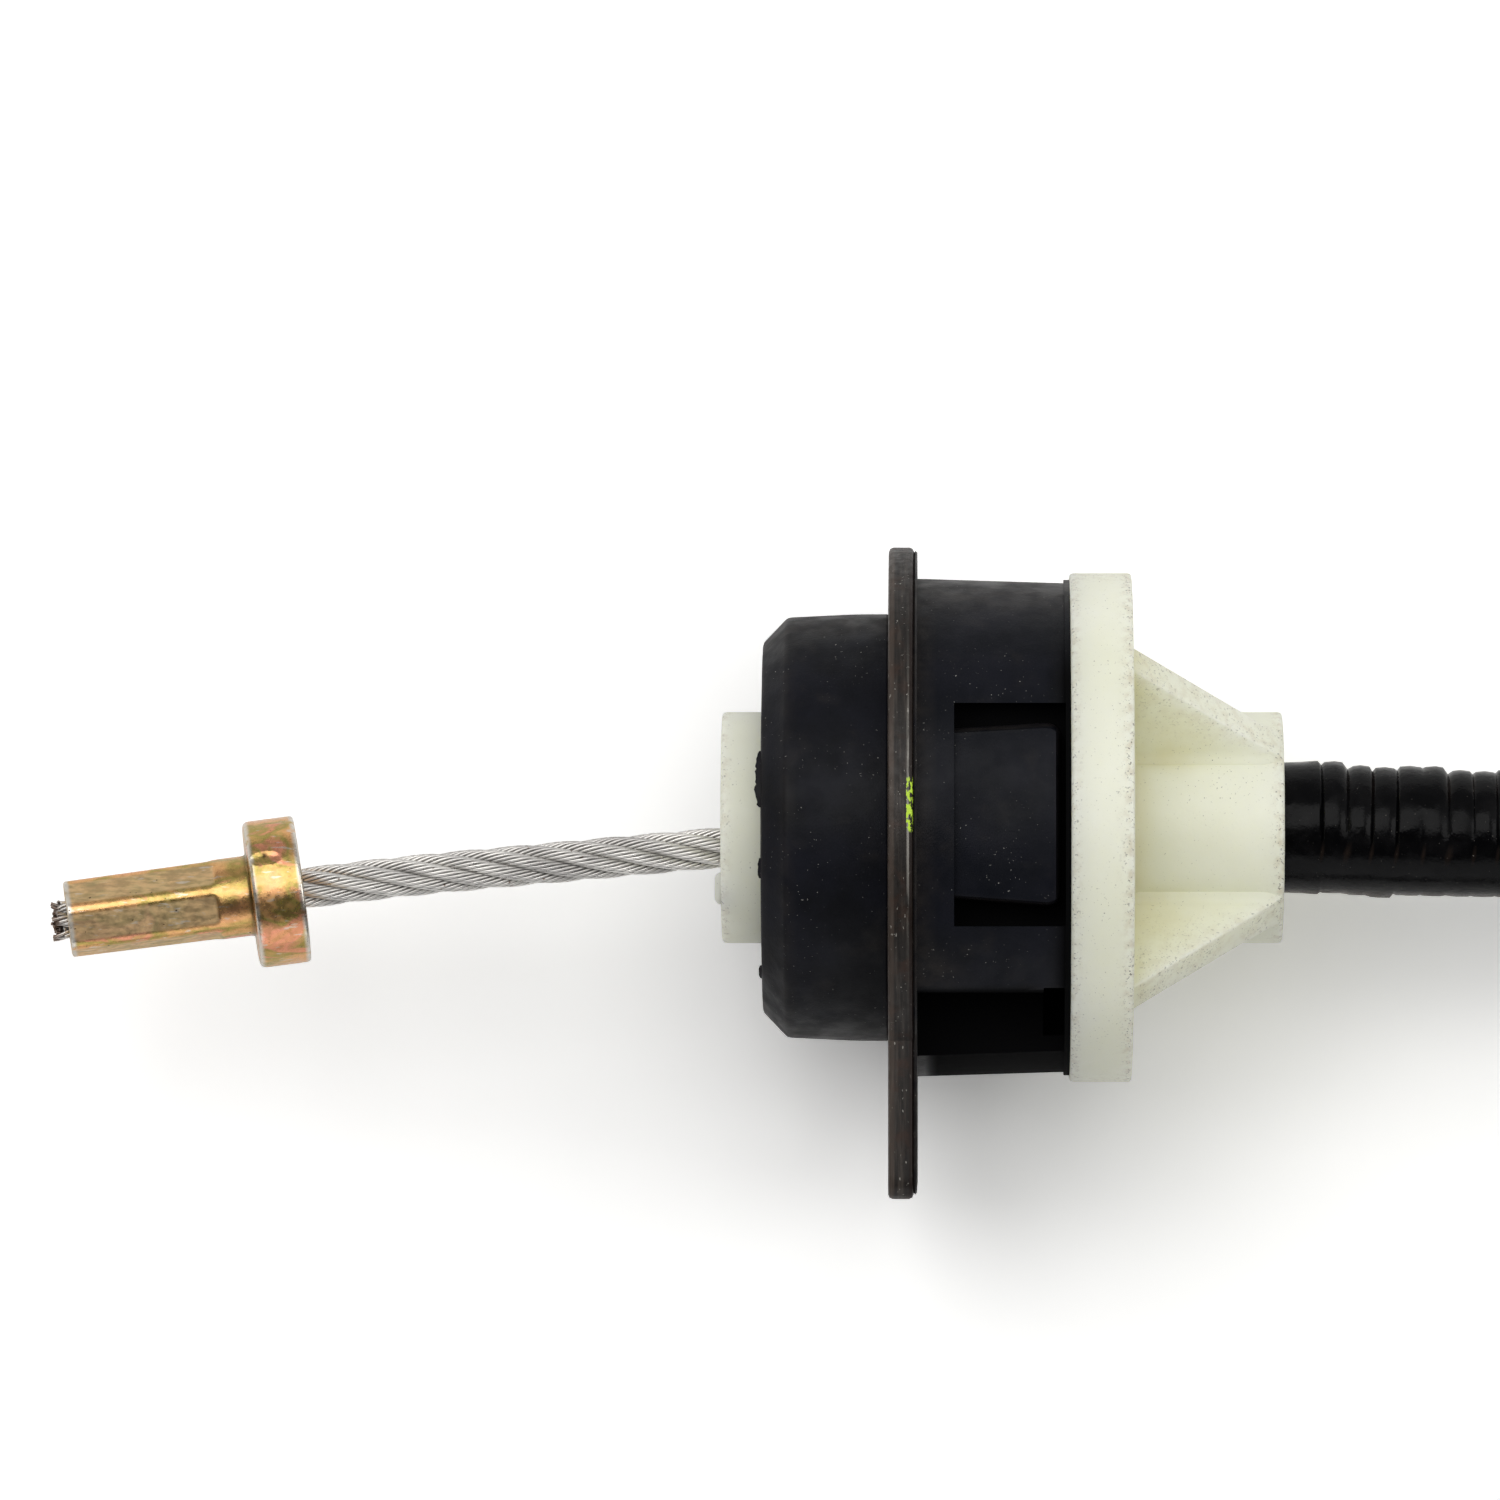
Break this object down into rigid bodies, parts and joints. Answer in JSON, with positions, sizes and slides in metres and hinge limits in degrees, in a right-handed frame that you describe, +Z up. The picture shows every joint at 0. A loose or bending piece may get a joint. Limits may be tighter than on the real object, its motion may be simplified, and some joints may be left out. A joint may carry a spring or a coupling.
{
  "type": "clutch release cable",
  "caption": "Pull cable in a ribbed casing: crimped pedal fitting with collar, rubber bulkhead isolator on a steel plate, nylon end housing, coiled casing and threaded fork end.",
  "frame": {"origin": "on the cable axis, in the front face of the mounting plate, where the front boss enters the bulkhead's hole", "axes": "+X along the cable axis from the pedal fitting towards the casing, -Y towards the plate's ear, +Z up with the part lying on the rim of its plate"},
  "size_m": [0.3157, 0.1812, 0.0504],
  "materials": {
    "yellow_zinc": "yellow passivated zinc on steel, slightly iridescent",
    "rope_wire": "galvanised stranded wire",
    "liner_plastic": "smooth low friction plastic",
    "front_rubber": "smooth moulded rubber",
    "plate_steel": "black finished sheet steel, worn",
    "rear_rubber": "moulded rubber with fine dust",
    "natural_nylon": "natural nylon, slightly translucent",
    "armour_steel": "bright flat wire",
    "jacket_plastic": "glossy black extruded jacket",
    "tie_plastic": "satin black nylon",
    "white_zinc": "bright zinc plate",
    "grommet_rubber": "moulded rubber",
    "boot_rubber": "soft moulded rubber",
    "washer_steel": "hardened steel, dark"
  },
  "bodies": {
    "casing": {"end_housing": "natural_nylon", "guide_bush": "liner_plastic", "front_isolator": "front_rubber", "mounting_plate": "plate_steel", "rear_isolator": "rear_rubber", "liner": "liner_plastic", "armour": "armour_steel", "conduit_end": "jacket_plastic", "conduit_lead": "jacket_plastic", "conduit_coil": "jacket_plastic", "conduit_tail": "jacket_plastic", "conduit_far_end": "jacket_plastic", "coil_tie_1": "tie_plastic", "coil_tie_2": "tie_plastic", "coil_tie_3": "tie_plastic", "casing_ferrule": "white_zinc", "bracket_grommet": "grommet_rubber", "dust_boot": "boot_rubber"},
    "pedal_wire": {"pedal_terminal": "yellow_zinc", "pedal_rope": "rope_wire"},
    "fork_wire": {"fork_rope": "rope_wire", "adjuster_stud": "white_zinc"},
    "fork_seat": {"pivot_washer": "washer_steel"},
    "adjuster": {"adjuster_nut": "yellow_zinc", "lock_nut": "yellow_zinc"}
  },
  "joints": [
    {"name": "pedal_pull", "type": "slide", "parent": "casing", "child": "pedal_wire", "axis": [-1, 0, 0], "range_m": [0, 0.03]},
    {"name": "fork_draw", "type": "slide", "parent": "casing", "child": "fork_wire", "axis": [1, 0, 0], "range_m": [0, 0.03]},
    {"name": "adjuster_travel", "type": "slide", "parent": "fork_wire", "child": "fork_seat", "axis": [-1, 0, 0], "range_m": [-0.008, 0.008]},
    {"name": "adjuster_spin", "type": "hinge", "parent": "fork_seat", "child": "adjuster", "pos_m": [-0.0797, -0.144, -0.0132], "axis": [-1, 0, 0], "range_deg": [-2300, 2300]}
  ],
  "couplings": [
    {"joint": "fork_draw", "follows": "pedal_pull", "ratio": 1},
    {"joint": "adjuster_travel", "follows": "adjuster_spin", "m_per_rad": 0.00019894}
  ]
}
